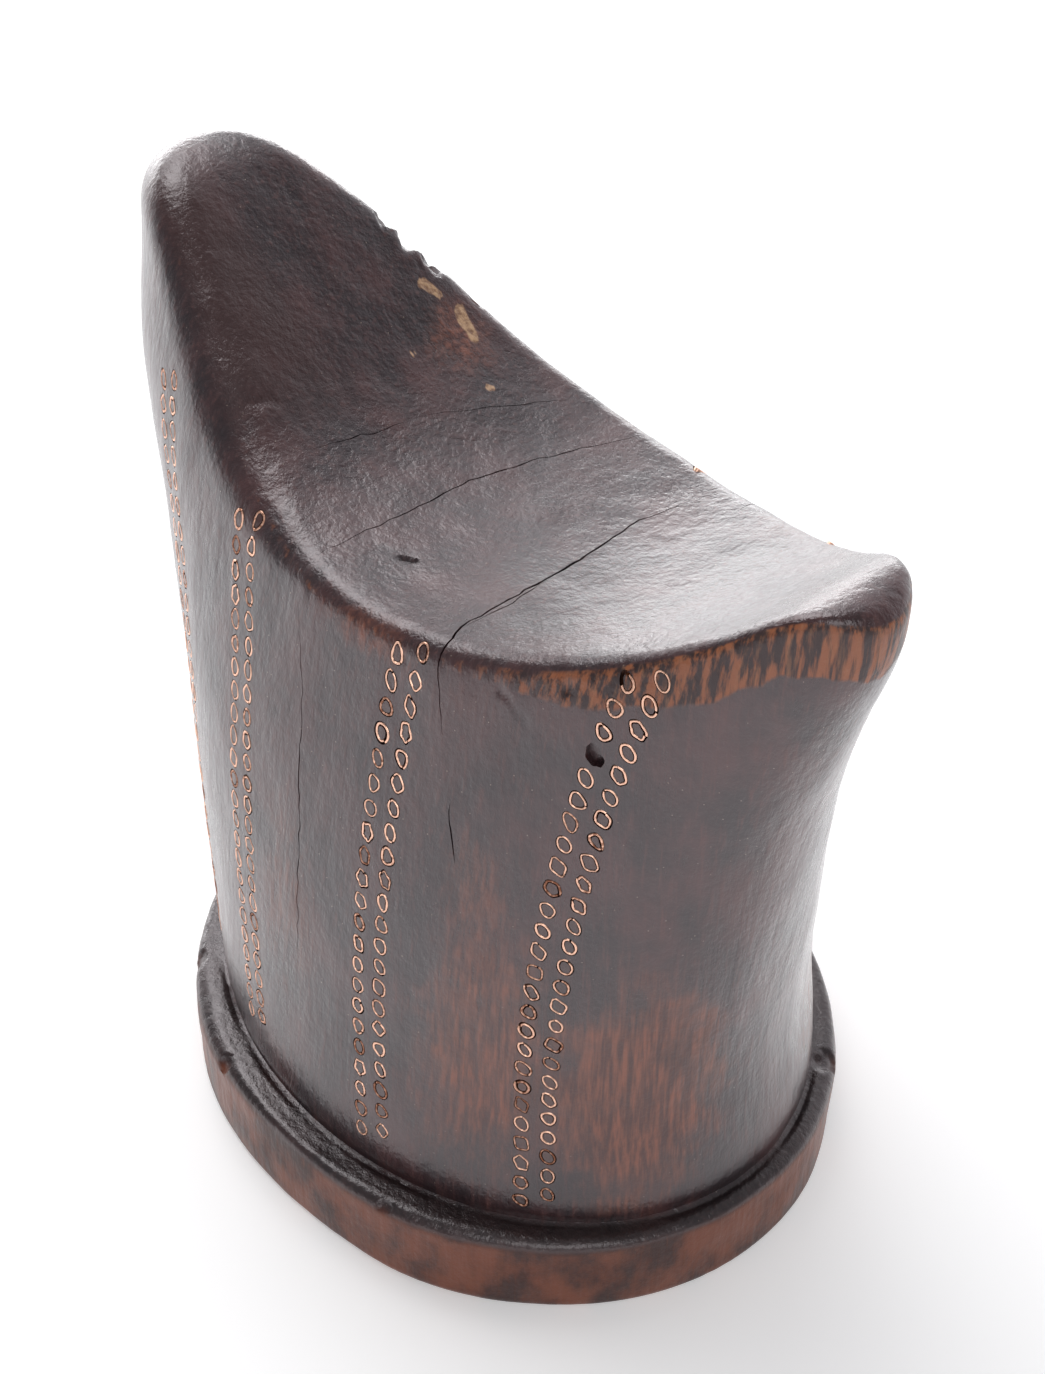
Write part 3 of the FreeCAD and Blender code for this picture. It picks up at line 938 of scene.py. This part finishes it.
# Colours as linear red, green and blue.
COLOURS = {
    "skin_dark": (0.012, 0.006, 0.008),
    "skin_brown": (0.058, 0.020, 0.020),
    "skin_fibre": (0.100, 0.036, 0.031),
    "speck": (0.22, 0.17, 0.14),
    "ruddy_deep": (0.070, 0.020, 0.013),
    "ruddy_bright": (0.270, 0.085, 0.042),
    "ruddy_stain": (0.024, 0.010, 0.008),
    "plinth_red": (0.175, 0.048, 0.020),
    "plinth_stain": (0.036, 0.010, 0.006),
    "plinth_fibre": (0.190, 0.070, 0.034),
    "inlay": (0.062, 0.024, 0.017),
    "rim_dark": (0.020, 0.008, 0.006),
    "rim_orange": (0.280, 0.088, 0.030),
    "rim_fibre": (0.38, 0.17, 0.08),
    # Painted shade on the high horn's rounded rim, where it reflects the dim side of the room.
    "ridge_painted_shade": (0.030, 0.006, 0.004),
    "scar_brown": (0.20, 0.10, 0.05),
    "scar_pale": (0.50, 0.31, 0.17),
    "ledge": (0.010, 0.006, 0.005),
    "wood_sheen": (1.0, 0.88, 0.93),
    "copper_bright": (0.95, 0.58, 0.43),
    "copper_brown": (0.30, 0.13, 0.08),
    "floor": (0.93, 0.93, 0.935),
    "white": (1.0, 1.0, 1.0),
    "sky": (0.98, 0.97, 1.0),
}


def colour(name):
    return (*COLOURS[name], 1.0)


def edged(shader, name, grain, sharpness=0.22, spread=0.5):
    """A painted mask whose edge is broken up along the grain."""
    shifted = shader.math("MULTIPLY", shader.math("SUBTRACT", grain, 0.5), spread)
    total = shader.math("ADD", shader.mask(name), shifted)
    return shader.ramp(total, 0.5 - sharpness, 0.5 + sharpness)


def wood_skin(shader, fibre, mottle):
    """The polished skin: dark, with browner clouds and fibres and a few pale specks."""
    skin = shader.blend(shader.ramp(mottle, 0.35, 0.7), colour("skin_dark"), colour("skin_brown"))
    skin = shader.blend(shader.ramp(fibre, 0.48, 0.8, 0.0, 0.7), skin, colour("skin_fibre"))
    return shader.blend(shader.specks(420.0, 0.07), skin, colour("speck"))


def ruddy_wood(shader, fibre, mottle):
    """Redder wood where the skin has worn away, with dark stains left on it."""
    wood = shader.blend(shader.ramp(fibre, 0.36, 0.68), colour("ruddy_deep"), colour("ruddy_bright"))
    return shader.blend(shader.ramp(mottle, 0.52, 0.70, 0.0, 0.6), wood, colour("ruddy_stain"))


def plinth_wood(shader, fibre, mottle):
    """Red-brown wood with dark clouds on the side of the plinth."""
    wood = shader.blend(shader.ramp(mottle, 0.38, 0.62), colour("plinth_red"), colour("plinth_stain"))
    return shader.blend(shader.ramp(fibre, 0.5, 0.8, 0.0, 0.4), wood, colour("plinth_fibre"))


def rim_wood(shader, fibre):
    """Orange-brown wood with dark upright streaks, where the rim is rubbed."""
    end_grain = shader.noise((620.0, 620.0, 50.0), detail=4.0, roughness=0.6)
    wood = shader.blend(shader.ramp(end_grain, 0.44, 0.60), colour("rim_dark"), colour("rim_orange"))
    return shader.blend(shader.ramp(fibre, 0.5, 0.75, 0.0, 0.45), wood, colour("rim_fibre"))


def faded(shader, name, share):
    """A painted mask at a share of its strength."""
    return shader.math("MULTIPLY", shader.mask(name), share)


def wood_relief(shader, fibre, mottle):
    """Fine fibres, grit, clouds and tool marks, laid over each other."""
    grit = shader.noise((700.0, 700.0, 500.0), detail=3.0, roughness=0.65)
    tool_marks = shader.noise((160.0, 160.0, 60.0), detail=2.0)
    normal = shader.bump(fibre, 0.00016, 0.9)
    normal = shader.bump(grit, 0.00030, 0.6, normal)
    normal = shader.bump(mottle, 0.0006, 0.45, normal)
    return shader.bump(tool_marks, 0.0007, 0.4, normal)


def make_wood():
    """Dark polished wood, redder and rougher where it is worn."""
    shader = Shader("dark_wood")
    inputs = shader.surface.inputs
    fibre = shader.noise((900.0, 900.0, 70.0), detail=5.0, roughness=0.6)
    streak = shader.noise((420.0, 420.0, 26.0), detail=4.0, roughness=0.6, distortion=0.3)
    mottle = shader.noise((70.0, 70.0, 45.0), detail=6.0, roughness=0.6)
    cloud = shader.noise((22.0, 22.0, 16.0), detail=3.0)
    ruddy = shader.math("MULTIPLY", edged(shader, "ruddy", mottle, 0.42, 0.9), 0.85)
    rim = edged(shader, "rim", streak, 0.25, 0.8)
    pale = edged(shader, "pale", mottle, 0.2, 0.6)
    scar_wood = shader.blend(shader.ramp(fibre, 0.35, 0.65), colour("scar_brown"), colour("scar_pale"))

    surface = shader.blend(ruddy, wood_skin(shader, fibre, mottle), ruddy_wood(shader, fibre, mottle))
    surface = shader.blend(shader.mask("plinth"), surface, plinth_wood(shader, fibre, mottle))
    surface = shader.blend(faded(shader, "inlay", 0.6), surface, colour("inlay"))
    surface = shader.blend(rim, surface, rim_wood(shader, fibre))
    # Painted shade: near black on the high horn's rounded rim.
    surface = shader.blend(faded(shader, "ridge_painted_shade", 0.85), surface, colour("ridge_painted_shade"))
    surface = shader.blend(pale, surface, scar_wood)
    surface = shader.blend(faded(shader, "ledge", 0.75), surface, colour("ledge"))
    shader.join(surface, inputs["Base Color"])

    gloss = shader.ramp(cloud, 0.3, 0.7, 0.24, 0.38)
    gloss = shader.math("ADD", gloss, shader.ramp(fibre, 0.3, 0.8, -0.04, 0.12))
    worn = shader.math("MAXIMUM", shader.math("MULTIPLY", rim, 0.12), shader.math("MULTIPLY", ruddy, 0.08))
    worn = shader.math("MAXIMUM", worn, faded(shader, "plinth", 0.14))
    shader.join(shader.math("ADD", gloss, worn), inputs["Roughness"])
    shader.join(shader.ramp(shader.mask("plinth"), 0.0, 1.0, 0.65, 0.35), inputs["Specular IOR Level"])
    shader.join(shader.ramp(worn, 0.0, 0.14, 0.80, 0.2), inputs["Coat Weight"])
    inputs["Specular Tint"].default_value = colour("wood_sheen")
    inputs["Coat Roughness"].default_value = 0.17

    normal = wood_relief(shader, fibre, mottle)
    shader.join(normal, inputs["Normal"])
    shader.join(normal, inputs["Coat Normal"])
    return shader.material


def make_copper():
    """Copper strip, rubbed bright on top, with some rings gone brown."""
    shader = Shader("copper")
    spots = shader.noise((1300.0, 1300.0, 1300.0), detail=4.0)
    dull = shader.math("ADD", shader.mask("dull"), shader.ramp(spots, 0.35, 0.75, -0.25, 0.45))
    amount = shader.ramp(dull, 0.35, 1.1)
    shade = shader.blend(amount, colour("copper_bright"), colour("copper_brown"))
    shader.join(shade, shader.surface.inputs["Base Color"])
    shader.surface.inputs["Metallic"].default_value = 1.0
    shader.join(shader.ramp(dull, 0.0, 1.0, 0.30, 0.55), shader.surface.inputs["Roughness"])
    shader.join(shader.bump(spots, 0.0001, 0.5), shader.surface.inputs["Normal"])
    return shader.material


# ---------------------------------------------------------------- stage, light and camera

FLOOR_HALF_WIDTH = 2000.0
FLOOR_ROUGHNESS = 0.9
FLOOR_GLOW = 0.28

# The middle of the object, at which the lamps point.
LIT_PLACE = (0.0, 0.0, 0.12)

# Soft flat lamps: name, place in metres, size and brightness.
PANELS = [
    ("overhead", (-0.9, 0.1, 1.5), (1.1, 1.1), 3.8),
    ("front_right", (1.1, -0.9, 1.1), (1.1, 1.1), 1.9),
    ("behind", (-1.3, 0.65, 0.25), (2.0, 0.5), 3.0),
]

# The room is white in this direction and dim away from it: how far along the direction it starts
# and stops getting brighter, and how bright it is at both ends.
WHITE_WALL = (-0.5, 0.8, -0.35)
ROOM_FADE = (-0.15, 0.55)
ROOM_BRIGHTNESS = (0.25, 1.05)

# The camera as fitted to the photo: place and target in mm, roll, lens and sensor width in mm.
CAMERA_PLACE = (268.7, -247.6, 445.0)
CAMERA_TARGET = (1.5, 0.0, 114.5)
CAMERA_ROLL = math.radians(1.0)
CAMERA_LENS = 61.96
CAMERA_SENSOR = 36.0


def make_floor():
    far = FLOOR_HALF_WIDTH
    floor = mesh_object("floor", [(-far, -far, 0), (far, -far, 0), (far, far, 0), (-far, far, 0)],
                        [(0, 1, 2, 3)])
    shader = Shader("pale_floor")
    shader.surface.inputs["Base Color"].default_value = colour("floor")
    shader.surface.inputs["Roughness"].default_value = FLOOR_ROUGHNESS
    shader.surface.inputs["Emission Color"].default_value = colour("white")
    shader.surface.inputs["Emission Strength"].default_value = FLOOR_GLOW
    floor.data.materials.append(shader.material)


def add_panel(name, place, size, radiance):
    """A soft flat light of the given brightness per area, facing the object."""
    light = bpy.data.lights.new(name, "AREA")
    light.shape = "RECTANGLE"
    light.size, light.size_y = size
    light.energy = radiance * math.pi * size[0] * size[1]
    panel = bpy.data.objects.new(name, light)
    panel.location = place
    direction = Vector(LIT_PLACE) - Vector(place)
    panel.rotation_euler = direction.to_track_quat("-Z", "Y").to_euler()
    panel.visible_camera = False
    bpy.context.scene.collection.objects.link(panel)


def make_sky():
    """A room that is white behind the table and to its left, and dim on the camera's side."""
    world = bpy.data.worlds.new("studio")
    world.use_nodes = True
    nodes = world.node_tree.nodes
    links = world.node_tree.links
    toward_wall = nodes.new("ShaderNodeVectorMath")
    toward_wall.operation = "DOT_PRODUCT"
    links.new(nodes.new("ShaderNodeTexCoord").outputs["Generated"], toward_wall.inputs[0])
    toward_wall.inputs[1].default_value = WHITE_WALL
    fade = nodes.new("ShaderNodeMapRange")
    links.new(toward_wall.outputs["Value"], fade.inputs["Value"])
    for end, place, brightness in zip(("Min", "Max"), ROOM_FADE, ROOM_BRIGHTNESS):
        fade.inputs["From " + end].default_value = place
        fade.inputs["To " + end].default_value = brightness
    background = nodes["Background"]
    background.inputs["Color"].default_value = colour("sky")
    links.new(fade.outputs["Result"], background.inputs["Strength"])
    bpy.context.scene.world = world


def light_scene():
    make_sky()
    for name, place, size, radiance in PANELS:
        add_panel(name, place, size, radiance)


def place_camera():
    place = Vector(CAMERA_PLACE) * MM
    target = Vector(CAMERA_TARGET) * MM
    forward = (target - place).normalized()
    right = forward.cross(Vector((0.0, 0.0, 1.0))).normalized()
    up = right.cross(forward)
    rolled_right = right * math.cos(CAMERA_ROLL) + up * math.sin(CAMERA_ROLL)
    rolled_up = up * math.cos(CAMERA_ROLL) - right * math.sin(CAMERA_ROLL)
    camera = bpy.data.cameras.new("camera")
    camera.lens = CAMERA_LENS
    camera.sensor_width = CAMERA_SENSOR
    camera.clip_start = 0.01
    holder = bpy.data.objects.new("camera", camera)
    turn = Matrix((rolled_right, rolled_up, -forward)).transposed().to_4x4()
    holder.matrix_world = Matrix.Translation(place) @ turn
    bpy.context.scene.collection.objects.link(holder)
    bpy.context.scene.camera = holder
    bpy.context.scene.view_settings.view_transform = "Standard"


# ---------------------------------------------------------------- put together

def main():
    wood = make_wood()
    copper = make_copper()
    block = carve_block()
    surface = Surface(block)
    columns = lay_rings(surface)
    all_rings = [ring for rings in columns.values() for ring in rings]
    cutters = [socket_cutter(all_rings), lost_socket(columns)]
    for name, (path, width, depth) in CRACKS.items():
        cutters.append(crack_blade(surface, name, path, width, depth))
    cut(block, cutters)
    paint_masks(block, all_rings)
    block.data.shade_smooth()
    block.data.set_sharp_from_angle(angle=math.radians(WOOD_EDGE))
    block.data.materials.clear()
    block.data.materials.append(wood)
    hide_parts("headrest_block")
    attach(block, "root")
    for node, rings in columns.items():
        build_ring_column(node, rings, copper)
    make_floor()
    light_scene()
    place_camera()


main()
